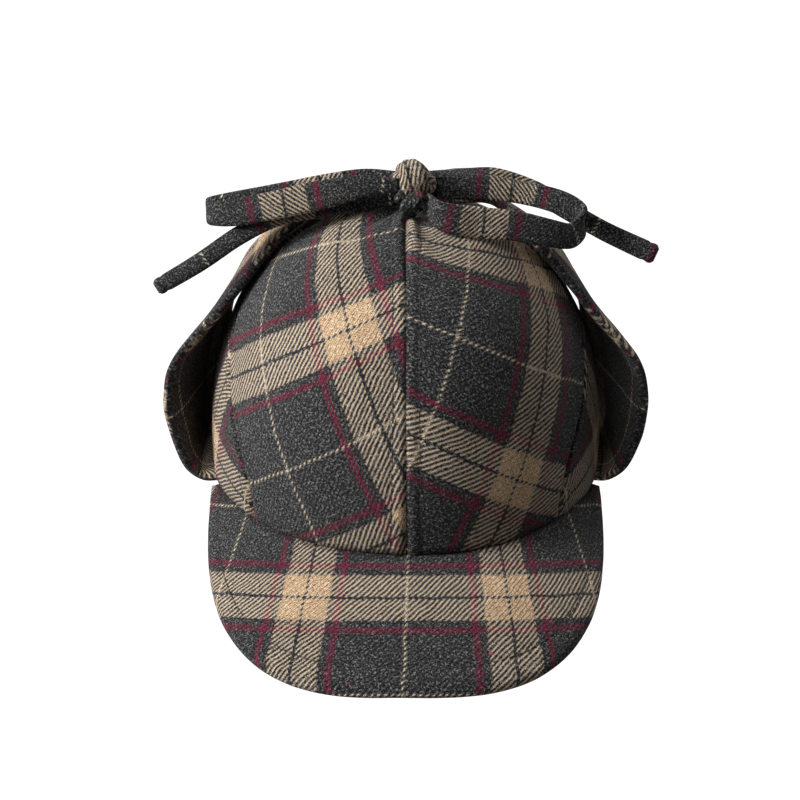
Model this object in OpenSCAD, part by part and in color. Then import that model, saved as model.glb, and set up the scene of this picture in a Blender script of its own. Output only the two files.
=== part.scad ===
// Trapper hat: a six-panel wool cap with a curved visor, two ear flaps folded up
// against the crown, and a fabric tie on each flap, tied in a bow over the crown.
// Origin: centre of the head opening, in the plane of the rim. +Z is up, the visor
// points along -Y, and the wearer's left is +X. Lengths are in millimetres.

/* [Crown] */
// Half width of the crown at the rim, outside the wool
crown_half_width = 89; // [82:0.5:96]
// Half length of the crown at the rim, outside the wool
crown_half_length = 96.5; // [90:0.5:106]
// Height of the crown above the rim
crown_height = 116; // [105:0.5:130]
// Roundness of the rim in plan (2 is an ellipse)
plan_power = 2.1; // [2:0.05:2.6]
// Roundness of the crown's section (2 is an ellipse)
dome_power = 2.2; // [2:0.05:2.8]
// Thickness of the wool with its interlining
wool_thickness = 2.2; // [1.4:0.1:3]
// Thickness of the lining
lining_thickness = 0.8; // [0.5:0.1:1.5]
// Space between wool and lining
lining_gap = 0.5; // [0.3:0.1:2]
// Angle around the rim of the front and side panels' seam
front_seam_at_rim = 47; // [40:1:60]
// Angle around the crown of the same seam near the top
front_seam_at_top = 92; // [60:1:100]
// Angle around the rim of the side and back panels' seam
back_seam_at_rim = 118; // [110:1:130]
// Angle around the crown of the same seam near the top
back_seam_at_top = 136; // [120:1:145]

/* [Sweatband] */
// Height of the sweatband
band_height = 32; // [25:1:40]
// Thickness of the sweatband
band_thickness = 1.2; // [0.8:0.1:2]

/* [Visor] */
// Angle around the rim where each end of the visor meets the crown
visor_end_angle = 67; // [60:1:72]
// Half width of the visor
visor_half_width = 86; // [80:0.5:92]
// How far the visor's rear ends lie ahead of the middle of the crown
visor_rear = 37; // [34:0.5:45]
// How far the visor's front edge lies ahead of its rear ends
visor_reach = 117; // [105:0.5:130]
// Roundness of the visor's outline
visor_power = 2.8; // [2.2:0.05:3.4]
// Downward slope of the visor
visor_slope = 0.46; // [0.3:0.01:0.7]
// Thickness of each layer of the visor's cloth
visor_cloth = 1.3; // [1:0.1:2]
// Thickness of the visor's stiff board
visor_board_thickness = 1.9; // [1.4:0.1:3]

/* [Ear flaps] */
// Distance of each flap's fold line from the middle
flap_hinge_x = 84; // [80:0.5:88]
// Height of the fold line
flap_hinge_z = -3.1; // [-4:0.1:-2.6]
// Thickness of the cloth on each face of a flap
flap_cloth = 1.5; // [1:0.1:2]
// Thickness of the flap's wadding
flap_wadding = 1.3; // [0.8:0.1:3]
// Where along the flap its crease lies
crease_at = 0.55; // [0.5:0.01:0.6]
// Slot between the two stiff parts of a flap at the crease
crease_gap = 0.5; // [0.3:0.1:1]

/* [Ties] */
// Width of the tie
tie_width = 12; // [9:0.5:15]
// Width of the tie's tail, where it rolls in
tail_width = 9; // [7:0.5:12]
// Thickness of the tie
tie_thickness = 2.4; // [1.6:0.1:3]
// Gap between the right tie and the knot that the left tie carries
knot_clearance = 0.6; // [0.4:0.1:1]

/* [Stitching] */
// Thickness of the sewing thread
thread = 0.5; // [0.3:0.1:0.8]
// Distance of a topstitch row from its seam
topstitch_offset = 6; // [4:0.5:8]

/* [Hidden] */
rim_steps = 12;
dome_steps = 14;
lining_rim_steps = 10;
lining_dome_steps = 12;
visor_steps = 28;
to_degrees = 180/PI;
half_wad = flap_wadding/2;
half_flap = half_wad + flap_cloth;
band_gap = 0.6;
label_thickness = 0.5;
label_gap = 0.35;
label_top = 30;
layer_gap = 0.02;
flap_length = 180;
visor_total = 2*visor_cloth + visor_board_thickness;
lining_out = wool_thickness + lining_gap;
band_out = lining_out + lining_thickness;
wool_colour = [0.24, 0.24, 0.25];
tan_colour = [0.78, 0.62, 0.42];
lining_colour = [0.12, 0.12, 0.14];
band_colour = [0.16, 0.14, 0.14];
label_colour = [0.85, 0.83, 0.78];
thread_colour = [0.1, 0.1, 0.1];

// ---------- curves ----------
function spow(v, p) = sign(v)*pow(abs(v), p);
function smooth(u) = let(c = min(1, max(0, u))) c*c*(3 - 2*c);
function mix(a, b, t) = a + (b - a)*t;
// a point of the rim at angle a from the front, with both half axes changed by off
function rim_pt(a, off) = [(crown_half_width + off)*spow(sin(a), 2/plan_power),
                           -(crown_half_length + off)*spow(cos(a), 2/plan_power)];
// a point of the crown at angle a, at height angle t from 0 (rim) to 90 (top)
function dome_pt(a, t, off) =
    let(p = rim_pt(a, off), r = pow(cos(t), 2/dome_power), h = pow(sin(t), 2/dome_power))
    [p.x*r, p.y*r, (crown_height + off)*h];
// seam k runs from the rim to the top: 0 front middle, 1 front/side, 2 side/back, 3 back middle
function seam_angle(k, t) =
    k == 0 ? 0 :
    k == 1 ? mix(front_seam_at_rim, front_seam_at_top, smooth(t/50)) :
    k == 2 ? mix(back_seam_at_rim, back_seam_at_top, smooth(t/50)) : 180;
// Catmull-Rom curve through the points p, u from 0 to 1
function cr(a, b, c, d, t) =
    0.5*(2*b + (c - a)*t + (2*a - 5*b + 4*c - d)*t*t + (3*b - a - 3*c + d)*t*t*t);
function curve(p, u) =
    let(n = len(p) - 1, f = min(n - 1, floor(u*n)), t = u*n - f,
        b = p[f], c = p[f + 1],
        a = f > 0 ? p[f - 1] : 2*b - c,
        d = f + 2 <= n ? p[f + 2] : 2*c - b)
    cr(a, b, c, d, t);
function unit(v) = v/norm(v);

// ---------- solids from grids ----------
function tris(q) = [for (t = [[q[0], q[1], q[2]], [q[0], q[2], q[3]]])
                    if (t[0] != t[1] && t[1] != t[2] && t[0] != t[2]) t];
// a closed slab between two grids of points, rows j and columns i;
// with apex = true the last row of each grid is one point
module slab(outer, inner, apex = false) {
    nv = len(outer) - 1;
    nu = len(outer[0]) - 1;
    m = (nu + 1)*(nv + 1);
    function o(i, j) = (apex && j == nv) ? nv*(nu + 1) : j*(nu + 1) + i;
    function n(i, j) = m + o(i, j);
    points = [for (g = [outer, inner]) for (row = g) for (p = row) p];
    faces = concat(
        [for (j = [0:nv - 1]) for (i = [0:nu - 1])
            each tris([o(i, j), o(i, j + 1), o(i + 1, j + 1), o(i + 1, j)])],
        [for (j = [0:nv - 1]) for (i = [0:nu - 1])
            each tris([n(i, j), n(i + 1, j), n(i + 1, j + 1), n(i, j + 1)])],
        [for (i = [0:nu - 1]) each tris([o(i, 0), o(i + 1, 0), n(i + 1, 0), n(i, 0)])],
        [for (i = [0:nu - 1]) if (!apex)
            each tris([o(i + 1, nv), o(i, nv), n(i, nv), n(i + 1, nv)])],
        [for (j = [0:nv - 1]) each tris([o(0, j + 1), o(0, j), n(0, j), n(0, j + 1)])],
        [for (j = [0:nv - 1]) each tris([o(nu, j), o(nu, j + 1), n(nu, j + 1), n(nu, j)])]);
    polyhedron(points = points, faces = faces, convexity = 6);
}
// a solid through closed cross-sections, open at the ends (capped) or joined in a ring
module tube(sections, ring = false) {
    n = len(sections);
    m = len(sections[0]);
    last = ring ? n - 1 : n - 2;
    sides = [for (k = [0:last]) for (i = [0:m - 1])
        each tris([k*m + i, k*m + (i + 1)%m, ((k + 1)%n)*m + (i + 1)%m, ((k + 1)%n)*m + i])];
    caps = ring ? [] : [[for (i = [m - 1:-1:0]) i], [for (i = [0:m - 1]) (n - 1)*m + i]];
    polyhedron(points = [for (s = sections) each s], faces = concat(sides, caps),
               convexity = 8);
}
// an eight-sided ribbon section, width w along vector a and thickness t along vector b
function ribbon_section(c, a, b, w, t) =
    let(c1 = t*0.3)
    [c + a*(w/2 - c1) + b*t/2, c + a*w/2 + b*(t/2 - c1), c + a*w/2 - b*(t/2 - c1),
     c + a*(w/2 - c1) - b*t/2, c - a*(w/2 - c1) - b*t/2, c - a*w/2 - b*(t/2 - c1),
     c - a*w/2 + b*(t/2 - c1), c - a*(w/2 - c1) + b*t/2];
// a ribbon along control points p, whose width direction follows the vectors s
module ribbon(p, s, w, t, steps) {
    pts = [for (k = [0:steps]) curve(p, k/steps)];
    tan = [for (k = [0:steps]) unit(pts[min(steps, k + 1)] - pts[max(0, k - 1)])];
    tube([for (k = [0:steps])
        let(s0 = curve(s, k/steps), a = unit(s0 - tan[k]*(s0*tan[k])), b = cross(tan[k], a))
        ribbon_section(pts[k], a, b, w, t)]);
}
// a sewing thread lying along points p
module thread_line(p, d) {
    n = len(p) - 1;
    tube([for (k = [0:n])
        let(t = unit(p[min(n, k + 1)] - p[max(0, k - 1)]),
            a = unit(cross(t, [0.3, 0.2, 1])), b = cross(t, a))
        [for (i = [0:4]) p[k] + (a*cos(72*i) + b*sin(72*i))*d/2]]);
}

// ---------- crown ----------
// panel between seams k0 and k1 on the wearer's left, off0 to off1 outside the crown surface
module gore(k0, k1, off0, off1, t_start, nu, nv) {
    function g(off) = [for (j = [0:nv]) let(t = mix(t_start, 90, j/nv))
        [for (i = [0:nu]) dome_pt(mix(seam_angle(k0, t), seam_angle(k1, t), i/nu), t, off)]];
    slab(g(off0), g(off1), apex = true);
}
module wool_gore(k) { color(wool_colour) gore(k, k + 1, 0, -wool_thickness, 0, rim_steps, dome_steps); }
module lining_gore(k) {
    color(lining_colour) gore(k, k + 1, -lining_out, -lining_out - lining_thickness, 1.5,
                              lining_rim_steps, lining_dome_steps);
}
module crown_front_left() wool_gore(0);
module crown_side_left() wool_gore(1);
module crown_back_left() wool_gore(2);
module crown_front_right() mirror([1, 0, 0]) wool_gore(0);
module crown_side_right() mirror([1, 0, 0]) wool_gore(1);
module crown_back_right() mirror([1, 0, 0]) wool_gore(2);
module lining_front_left() lining_gore(0);
module lining_side_left() lining_gore(1);
module lining_back_left() lining_gore(2);
module lining_front_right() mirror([1, 0, 0]) lining_gore(0);
module lining_side_right() mirror([1, 0, 0]) lining_gore(1);
module lining_back_right() mirror([1, 0, 0]) lining_gore(2);

// the band follows the lining, so its top leans in with the crown
function band_pt(a, h, off) =
    let(t = asin(pow(h/crown_height, dome_power/2))) dome_pt(a, t, off);
module sweatband() {
    steps = 56;
    color(band_colour) tube([for (k = [0:steps - 1]) let(a = -360*k/steps)
        [for (q = [[0.4, 0], [band_height*0.5, 0], [band_height, 0],
                   [band_height, 1], [band_height*0.5, 1], [0.4, 1]])
            let(p = band_pt(a, q[0], -band_out - band_gap - q[1]*band_thickness)) [p.x, p.y, q[0]]]],
        ring = true);
}
// a blank label, width w and height h, sewn at its top edge to the inside of the band at angle a
module label(a, w, h) {
    half = w/2/crown_half_width*to_degrees;
    off = -band_out - band_gap - band_thickness - label_gap;
    function g(o) = [for (j = [0:3]) let(z = label_top - h*(1 - j/3))
        [for (i = [0:4]) let(p = band_pt(mix(a - half, a + half, i/4), z, o)) [p.x, p.y, z]]];
    color(label_colour) slab(g(off), g(off - label_thickness));
}
module size_label() label(180, 22, 14);
module care_label() label(148, 24, 26);

// ---------- visor ----------
// q runs from the right end (-1) to the left end (1), s from the crown (0) to the edge (1)
function visor_pt(q, s, drop) =
    let(a = rim_pt(visor_end_angle*q, -wool_thickness),
        x1 = visor_half_width*spow(sin(90*q), 2/visor_power),
        y1 = -visor_rear - visor_reach*pow(abs(cos(90*q)), 2/visor_power),
        b = [x1, y1], l = norm(b - a), p = mix(a, b, s))
    [p.x, p.y, -0.02 - visor_slope*l*s + 0.02*l*sin(180*s) - drop];
// the rows of a visor layer at the places s, each dropped below the top face
function visor_grid(rows, drops, inset = 0) =
    [for (j = [0:len(rows) - 1]) [for (i = [inset:visor_steps - inset])
        visor_pt(2*i/visor_steps - 1, rows[j], drops[j])]];
board_rows = [0, 0.2, 0.4, 0.6, 0.8];
board_top = visor_cloth + layer_gap;
board_low = visor_cloth + visor_board_thickness - layer_gap;
under_top = visor_cloth + visor_board_thickness;
module visor_top_cloth() {
    // beyond the board the cloth turns down to meet the under cloth
    rows = concat(board_rows, [0.84, 1]);
    color(wool_colour) slab(visor_grid(rows, [0, 0, 0, 0, 0, 0, 0.5]),
        visor_grid(rows, concat([for (r = board_rows) visor_cloth], [board_low, board_low])));
}
module visor_board() {
    color(label_colour) slab(visor_grid(board_rows, [for (r = board_rows) board_top], 1),
        visor_grid(board_rows, [for (r = board_rows) board_low], 1));
}
module visor_under_cloth() {
    rows = concat(board_rows, [1]);
    color(wool_colour) slab(visor_grid(rows, [for (r = rows) under_top]),
        visor_grid(rows, [for (r = rows) visor_total - (r == 1 ? 0.4 : 0)]));
}
module visor_topstitch() {
    color(thread_colour) thread_line([for (k = [0:28])
        visor_pt(mix(-0.88, 0.88, k/28), 0.86, -0.05)], thread);
}
// two rows beside the front seam and one row beside each of the other seams
module crown_topstitch() {
    n = 18;
    color(thread_colour) for (side = [-1, 1], k = [0:2]) {
        thread_line([for (j = [0:n])
            let(t = mix(2, 78, j/n), a = seam_angle(k, t),
                off = topstitch_offset/(crown_half_width*pow(cos(t), 2/dome_power))*to_degrees,
                p = dome_pt(a + off, t, 0.05)) [side*p.x, p.y, p.z]], thread);
    }
}

// ---------- ear flaps ----------
// section of a flap, out from the middle and up, and its front and rear edges
flap_path = [[flap_hinge_x, flap_hinge_z], [91, -2.2], [98, 6], [103, 21], [104.5, 38],
             [100, 54.5], [84, 70.5], [69, 87.4], [54.6, 102.2], [42, 111.5]];
flap_front = [-31, -31, -31.5, -31.5, -30, -27, -19, -12, -4, 2];
flap_rear = [46, 46, 45, 42, 36, 28, 22, 20, 19, 18];
// how far the flap closes in on the crown for each millimetre towards its rear edge
flap_slant = [0, 0.02, 0.08, 0.2, 0.28, 0.31, 0.18, 0.06, 0.05, 0.05];
function path_pt(u) = curve(flap_path, u);
function path_normal(u) =
    let(d = path_pt(min(1, u + 0.004)) - path_pt(max(0, u - 0.004)), e = unit(d)) [e.y, -e.x];
function flap_pt(u, v, off) =
    let(p = path_pt(u) + path_normal(u)*off, y = v*(curve(flap_rear, u) - curve(flap_front, u)))
    [p.x - curve(flap_slant, u)*y, curve(flap_front, u) + y, p.y];
// grid over part of a flap; the offset is edge at the border and face elsewhere, and
// inset leaves out that many rows and columns at each border
function flap_grid(u0, u1, n, face, edge, inset = 0) =
    [for (j = [inset:n - inset]) [for (i = [inset:flap_columns - inset])
        let(border = (i == 0 || i == flap_columns || j == 0 || j == n))
        flap_pt(mix(u0, u1, j/n), i/flap_columns, border ? edge : face)]];
flap_columns = 8;
flap_edge = 0.75;
module flap_outer(u0, u1, n) {
    color(wool_colour) slab(flap_grid(u0, u1, n, half_flap, half_flap*flap_edge),
                            flap_grid(u0, u1, n, half_wad, layer_gap));
}
module flap_inner(u0, u1, n) {
    color(wool_colour) slab(flap_grid(u0, u1, n, -half_wad, -layer_gap),
                            flap_grid(u0, u1, n, -half_flap, -half_flap*flap_edge));
}
module flap_wad(u0, u1, n) {
    face = half_wad - 2*layer_gap;
    color(label_colour) slab(flap_grid(u0, u1, n, face, face, 1), flap_grid(u0, u1, n, -face, -face, 1));
}
half_slot = crease_gap/2/flap_length;
main_rows = 14;
tip_rows = 10;
main_start = 0.02;
main_end = crease_at - half_slot;
tip_start = crease_at + half_slot;
module flap_left_outer() flap_outer(main_start, main_end, main_rows);
module flap_left_inner() flap_inner(main_start, main_end, main_rows);
module flap_left_wadding() flap_wad(main_start, main_end, main_rows);
module flap_left_tip_outer() flap_outer(tip_start, 1, tip_rows);
module flap_left_tip_inner() flap_inner(tip_start, 1, tip_rows);
module flap_left_tip_wadding() flap_wad(tip_start, 1, tip_rows);
module flap_right_outer() mirror([1, 0, 0]) flap_left_outer();
module flap_right_inner() mirror([1, 0, 0]) flap_left_inner();
module flap_right_wadding() mirror([1, 0, 0]) flap_left_wadding();
module flap_right_tip_outer() mirror([1, 0, 0]) flap_left_tip_outer();
module flap_right_tip_inner() mirror([1, 0, 0]) flap_left_tip_inner();
module flap_right_tip_wadding() mirror([1, 0, 0]) flap_left_tip_wadding();

// ---------- ties and bow ----------
// Each tie runs from its flap's tip to the knot, out in a loop and back, and ends in a tail.
// Control points go from the knot outwards; the second list gives the width's direction.
knot_middle = [2.6, -4, 127.3];
knot_half = [8.5, 8.5, 9.5];
right_face = knot_middle.x - knot_half.x - knot_clearance;
upright = [0, 0.3, 0.95];
flat = [0, 1, 0.15];
module tie_lead(side, x_end) {
    ribbon([[side*45, 10, 109.8], [side*38, 9.5, 115.4], [side*30, 7.5, 117.8], [side*18, 3, 119],
            [x_end, -2, 120.5]],
           [for (k = [0:4]) [0, 1, 0.03*k]], tie_width, tie_thickness, 10);
}
module tie_right() {
    x = right_face - 2.2;
    color(tan_colour) {
        tie_lead(-1, x);
        ribbon([[x, -8, 128.5], [-17, -10, 129], [-27, -11, 127.3], [-41, -11.5, 124.3], [-58, -11.5, 120.3],
                [-73, -10.5, 117], [-81.5, -8.5, 115.8], [-84, -5.8, 115.6], [-81, -3.2, 116.3],
                [-62, -3, 119.8], [-45, -2.5, 122.8], [-30, -1.5, 126], [-17, -0.5, 128.3], [x, -0.5, 128.5]],
               [for (k = [0:13]) upright], tie_width, tie_thickness, 34);
        ribbon([[x, -4, 121.5], [-32.5, -6.5, 118.3], [-54, -8, 114.5], [-71, -10, 106.5],
                [-88.5, -14, 95.5], [-107.5, -18, 85]],
               [for (k = [0:5]) [-0.05*k, 0.3, 0.9]], tail_width, tie_thickness, 14);
        translate([x, -3.7, 124]) cube([4.2, 11.5, 12.6], center = true);
    }
}
module tie_left() {
    x = knot_middle.x + knot_half.x - 0.5;
    color(tan_colour) {
        tie_lead(1, x);
        ribbon([[x, -7.5, 122], [15, -20, 119.5], [30, -19.5, 116.2], [46, -18, 114], [61, -15.5, 109.7],
                [70.5, -10.5, 106.3], [75, -5, 109], [73.5, 0, 113], [65, 3, 116.8], [50, 5, 120],
                [35, 4.5, 122.3], [22, 2.5, 123.5], [x, 0, 123.5]],
               [for (k = [0:12]) [0, 0.3 + 0.02*k, 0.95]], tie_width, tie_thickness, 34);
        ribbon([[x, 3, 128.5], [27.5, 9, 126.5], [39, 12, 124.5], [55.5, 13.5, 118], [70, 12, 109.5],
                [88, 7, 100.6], [109.5, 0, 92.6]],
               [for (k = [0:6]) mix(flat, [0.25, 0.45, 0.9], smooth(k/4))], tail_width, tie_thickness, 18);
        translate([x + 0.5, -2.5, 124.5]) cube([5, 10.5, 11], center = true);
    }
}
// the wrap of ribbon that closes the bow, a barrel across the bow with a fold down its front
module bow_knot() {
    n = 10;
    m = 18;
    color(tan_colour) tube([for (k = [0:n]) let(u = mix(-1, 1, k/n), r = pow(1 - 0.93*pow(abs(u), 3.4), 0.5))
        [for (i = [0:m - 1]) let(c = 360*i/m, f = 1 - 0.06*exp(-pow(u*4, 2)))
            knot_middle + [u*knot_half.x, -r*f*knot_half.y*spow(cos(c), 0.9),
                           r*f*knot_half.z*spow(sin(c), 0.9)]]]);
}
// the three stitches that fasten each tie to its flap's tip
module tack(side) {
    row = tip_start + (1 - tip_start)*(tip_rows - 2)/tip_rows;
    function at(k, v) = let(p = flap_pt(row + k*(1 - tip_start)/tip_rows, v, half_flap + thread*0.2))
        [side*p.x, p.y, p.z];
    color(thread_colour) for (v = [3, 4, 5])
        thread_line([for (k = [0.05, 0.95]) at(k, v/flap_columns)], thread);
}
module tie_left_tack() tack(1);
module tie_right_tack() tack(-1);

crown_front_left();
crown_front_right();
crown_side_left();
crown_side_right();
crown_back_left();
crown_back_right();
lining_front_left();
lining_front_right();
lining_side_left();
lining_side_right();
lining_back_left();
lining_back_right();
sweatband();
size_label();
care_label();
visor_top_cloth();
visor_board();
visor_under_cloth();
crown_topstitch();
visor_topstitch();
flap_left_outer();
flap_left_inner();
flap_left_wadding();
flap_left_tip_outer();
flap_left_tip_inner();
flap_left_tip_wadding();
flap_right_outer();
flap_right_inner();
flap_right_wadding();
flap_right_tip_outer();
flap_right_tip_inner();
flap_right_tip_wadding();
tie_left();
tie_right();
bow_knot();
tie_left_tack();
tie_right_tack();
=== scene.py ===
import bpy
import math
import numpy as np
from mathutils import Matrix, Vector, noise


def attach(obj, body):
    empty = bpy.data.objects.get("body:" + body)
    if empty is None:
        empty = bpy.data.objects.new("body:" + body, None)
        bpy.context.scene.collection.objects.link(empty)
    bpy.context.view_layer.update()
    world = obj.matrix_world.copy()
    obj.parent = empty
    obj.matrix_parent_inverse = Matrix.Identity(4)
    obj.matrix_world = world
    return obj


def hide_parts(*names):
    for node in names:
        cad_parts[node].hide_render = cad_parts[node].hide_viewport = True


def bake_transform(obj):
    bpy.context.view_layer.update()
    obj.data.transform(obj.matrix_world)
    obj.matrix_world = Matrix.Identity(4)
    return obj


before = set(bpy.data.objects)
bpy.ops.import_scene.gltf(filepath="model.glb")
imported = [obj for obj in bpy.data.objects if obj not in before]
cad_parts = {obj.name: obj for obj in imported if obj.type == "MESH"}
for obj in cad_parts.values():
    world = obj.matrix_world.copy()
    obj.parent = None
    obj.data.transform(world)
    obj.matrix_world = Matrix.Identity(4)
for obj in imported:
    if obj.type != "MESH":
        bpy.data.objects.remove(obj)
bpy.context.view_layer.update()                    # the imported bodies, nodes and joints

# Everything below is in millimetres until make() turns it into metres.
A, B, H = 89.0, 96.5, 116.0          # half width, half length and height of the crown
PLAN, DOME = 2.1, 2.2                # powers of its plan and section
WOOL = 2.2                           # thickness of a panel
ROUND = 92                           # near the mean radius of the rim: turns an angle into a length
BAND_FACE = 5.75                     # how far the sweatband's inner face lies inside the crown's outside
VISOR_END = 67.0                     # degrees round the rim to the visor's end
VISOR_HALF, VISOR_REAR, VISOR_REACH = 86.0, 37.0, 117.0
VISOR_POWER, VISOR_SLOPE = 2.8, 0.46
VISOR_THICK = 4.5
HALF_FLAP = 2.15                     # half of a flap's thickness
HINGE = (84.0, -3.1)                 # where a flap meets the rim, across and up
KNOT = np.array([2.6, -4.0, 127.3])  # middle of the bow's knot
KNOT_HALF = np.array([8.5, 8.5, 9.5])
SETT = 85.0                          # repeat of the plaid

# ------------------------------------------------------------------ camera
def make_camera(elevation=28.0, distance=850.0, mm_per_pixel=0.455, target=(-2.5, 0.0, 21.0)):
    cam = bpy.data.cameras.new("camera")
    ob = bpy.data.objects.new("camera", cam)
    bpy.context.scene.collection.objects.link(ob)
    e = math.radians(elevation)
    back = Vector((0, -math.cos(e), math.sin(e)))
    ob.location = (Vector(target) + back*distance)*0.001
    ob.rotation_euler = back.to_track_quat("Z", "Y").to_euler()
    cam.sensor_width = 36
    cam.lens = 36*distance/(800*mm_per_pixel)
    cam.clip_start, cam.clip_end = 0.01, 50
    bpy.context.scene.camera = ob
make_camera()

# ------------------------------------------------------------------ curves
def spow(v, p):
    return np.sign(v)*np.abs(v)**p
def smooth(u):
    u = np.clip(u, 0, 1)
    return u*u*(3 - 2*u)
def mix(a, b, t):
    return a + (b - a)*t
def rim(phi, off=0.0):
    p = np.radians(phi)
    return (A + off)*spow(np.sin(p), 2/PLAN), -(B + off)*spow(np.cos(p), 2/PLAN)
def dome(phi, t, off=0.0):
    x, y = rim(phi, off)
    c = np.radians(t)
    r, h = np.abs(np.cos(c))**(2/DOME), np.abs(np.sin(c))**(2/DOME)
    return np.stack(np.broadcast_arrays(x*r, y*r, (H + off)*h), -1)
def seam(k, t):
    t = np.asarray(t, float)
    return {0: -0.9*np.sin(np.radians(2*t)), 1: mix(47, 92, smooth(t/50)), 2: mix(118, 136, smooth(t/50)),
            3: 180 + 0*t}[k]
_T = np.linspace(0, 90, 361)
_P = dome(np.full_like(_T, 30.0), _T)
_S = np.concatenate([[0], np.cumsum(np.linalg.norm(np.diff(_P, axis=0), axis=1))])
def height_along(t):
    return np.interp(t, _T, _S)
def curve(points, u):
    """Catmull-Rom through points, u an array from 0 to 1"""
    P = np.asarray(points, float)
    if P.ndim == 1: P = P[:, None]
    n = len(P) - 1
    E = np.vstack([2*P[0] - P[1], P, 2*P[-1] - P[-2]])
    u = np.clip(np.asarray(u, float), 0, 1)
    f = np.minimum((u*n).astype(int), n - 1)
    t = (u*n - f)[..., None]
    a, b, c, d = E[f], E[f + 1], E[f + 2], E[f + 3]
    out = 0.5*(2*b + (c - a)*t + (2*a - 5*b + 4*c - d)*t*t + (3*b - a - 3*c + d)*t**3)
    return out if np.asarray(points).ndim > 1 else out[..., 0]
def lumps(P, size, seed):
    """smooth noise of about -1 to 1 at the points P"""
    s = P.reshape(-1, 3)/size + seed*7.31
    return np.array([noise.noise(Vector(p)) for p in s]).reshape(P.shape[:-1])

# ------------------------------------------------------------------ meshes
def make(name, V, F, cloth=None, mat=None, smooth_shade=True):
    V = np.asarray(V, float).reshape(-1, 3)*0.001
    me = bpy.data.meshes.new(name)
    me.from_pydata(V.tolist(), [], F.tolist() if hasattr(F, "tolist") else F)
    if cloth is not None:
        C = np.asarray(cloth, float).reshape(len(V), -1)
        if C.shape[1] == 2: C = np.hstack([C, np.zeros((len(V), 1))])
        at = me.attributes.new("cloth", "FLOAT_VECTOR", "POINT")
        at.data.foreach_set("vector", C.astype(np.float32).ravel())
    me.validate()
    if smooth_shade: me.shade_smooth()
    ob = bpy.data.objects.new(name, me)
    bpy.context.scene.collection.objects.link(ob)
    if mat: me.materials.append(mat)
    return ob
def grid_faces(nj, ni, wrap=False, flip=False):
    j, i = np.meshgrid(np.arange(nj - 1), np.arange(ni if wrap else ni - 1), indexing="ij")
    i2 = (i + 1) % ni
    q = np.stack([j*ni + i, j*ni + i2, (j + 1)*ni + i2, (j + 1)*ni + i], -1).reshape(-1, 4)
    return q[:, ::-1] if flip else q
def merge(parts):
    """parts: list of (V, F, cloth) to one V, F, cloth"""
    V, F, C, n = [], [], [], 0
    for v, f, c in parts:
        v = np.asarray(v, float).reshape(-1, 3)
        V.append(v)
        C.append(np.asarray(c, float).reshape(len(v), -1))
        F += [[i + n for i in face] for face in f]
        n += len(v)
    return np.vstack(V), F, np.vstack(C)
def normals_of(G):
    du = np.gradient(G, axis=1)
    dv = np.gradient(G, axis=0)
    n = np.cross(du, dv)
    return n/np.maximum(np.linalg.norm(n, axis=-1, keepdims=True), 1e-9)

# ------------------------------------------------------------------ shader building
class S:
    """a socket in a node tree, with arithmetic"""
    def __init__(self, nt, v): self.nt, self.v = nt, v
    def _op(self, op, *o, clamp=False):
        n = self.nt.nodes.new("ShaderNodeMath")
        n.operation = op
        n.use_clamp = clamp
        for k, x in enumerate((self,) + o):
            if isinstance(x, S): self.nt.links.new(x.v, n.inputs[k])
            else: n.inputs[k].default_value = x
        return S(self.nt, n.outputs[0])
    def __add__(s, o): return s._op("ADD", o)
    def __sub__(s, o): return s._op("SUBTRACT", o)
    def __mul__(s, o): return s._op("MULTIPLY", o)
    def __truediv__(s, o): return s._op("DIVIDE", o)
    def abs(s): return s._op("ABSOLUTE")
    def floor(s): return s._op("FLOOR")
    def round(s): return s._op("ROUND")
    def sin(s): return s._op("SINE")
    def clamp(s): return s._op("ADD", 0.0, clamp=True)
    def step(s, lo, hi):
        n = s.nt.nodes.new("ShaderNodeMapRange")
        n.interpolation_type = "SMOOTHSTEP"
        s.nt.links.new(s.v, n.inputs["Value"])
        n.inputs["From Min"].default_value, n.inputs["From Max"].default_value = lo, hi
        return S(s.nt, n.outputs["Result"])
def value_noise(nt, vec, scale, detail=2.0, rough=0.5):
    n = nt.nodes.new("ShaderNodeTexNoise")
    nt.links.new(vec, n.inputs["Vector"])
    for socket, value in (("Scale", scale), ("Detail", detail), ("Roughness", rough)):
        n.inputs[socket].default_value = value
    return S(nt, n.outputs["Fac"])
def colour_mix(nt, fac, a, b, blend="MIX"):
    n = nt.nodes.new("ShaderNodeMix")
    n.data_type = "RGBA"
    n.blend_type = blend
    for sock, x in ((n.inputs[0], fac), (n.inputs[6], a), (n.inputs[7], b)):
        if isinstance(x, S): nt.links.new(x.v, sock)
        elif hasattr(x, "is_linked"): nt.links.new(x, sock)
        elif isinstance(x, (int, float)): sock.default_value = x
        else: sock.default_value = (*x, 1.0)
    return n.outputs[2]
def combine(nt, x, y, z):
    n = nt.nodes.new("ShaderNodeCombineXYZ")
    for k, v in enumerate((x, y, z)):
        if isinstance(v, S): nt.links.new(v.v, n.inputs[k])
        else: n.inputs[k].default_value = v
    return n.outputs[0]
def new_material(name):
    m = bpy.data.materials.new(name)
    m.use_nodes = True
    nt = m.node_tree
    return m, nt, nt.nodes["Principled BSDF"]

CHARCOAL, CHARCOAL_LIGHT, CHARCOAL_PALE = (0.004, 0.0045, 0.006), (0.042, 0.044, 0.047), (0.24, 0.24, 0.235)
TAN, TAN_LIGHT, TAN_DARK = (0.72, 0.47, 0.27), (0.97, 0.80, 0.58), (0.36, 0.20, 0.10)
BEIGE = (0.56, 0.47, 0.36)
MAROON, MAROON_LIGHT = (0.085, 0.004, 0.018), (0.42, 0.05, 0.12)
CREAM = (0.78, 0.64, 0.46)

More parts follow.
